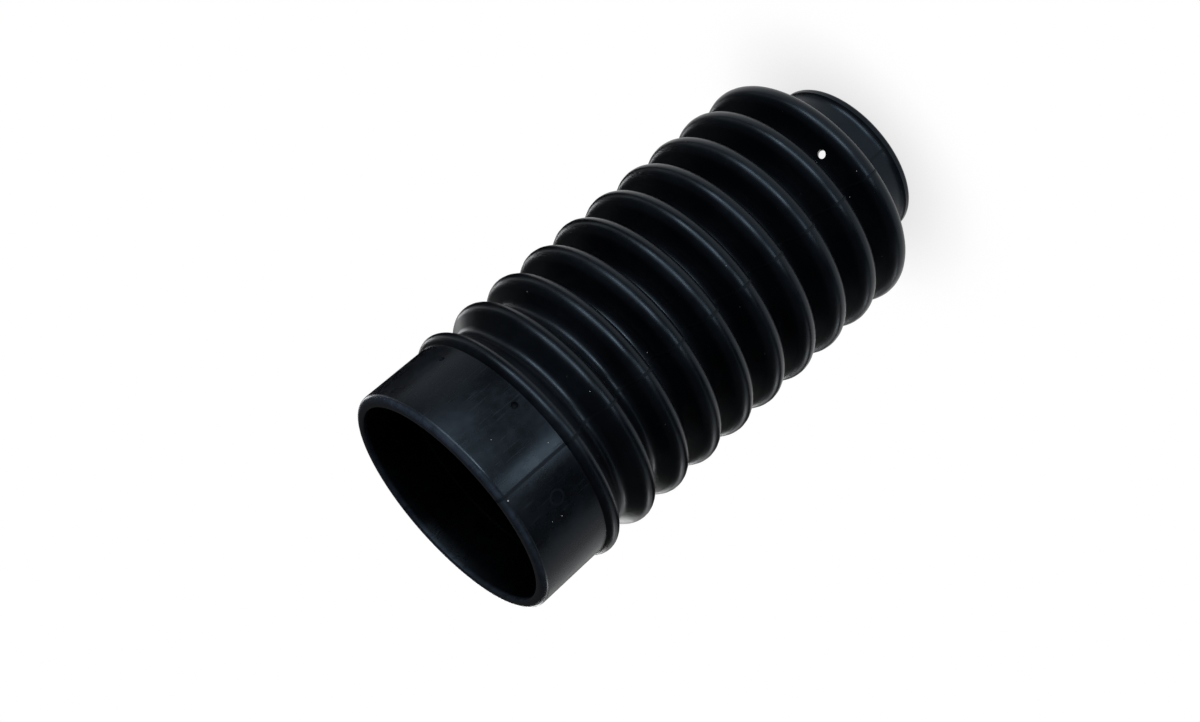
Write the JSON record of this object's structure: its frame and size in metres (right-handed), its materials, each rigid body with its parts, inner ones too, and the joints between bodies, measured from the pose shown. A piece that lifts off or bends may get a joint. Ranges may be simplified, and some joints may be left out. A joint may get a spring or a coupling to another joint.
{
  "type": "fork gaiter",
  "caption": "Moulded rubber fork gaiter: a ribbed bellows sleeve between a narrow lipped cuff and a wide open cuff, with a small vent hole.",
  "frame": {"origin": "centre of the small cuff's flat end face, on which the part stands", "axes": "+Z along the sleeve's axis, from the small cuff up to the large cuff's mouth; +X points at one of the two mould parting lines"},
  "size_m": [0.0874, 0.0874, 0.1885],
  "materials": {
    "rubber": "satin black moulded rubber"
  },
  "bodies": {
    "root": {"gaiter": "rubber"}
  },
  "joints": []
}
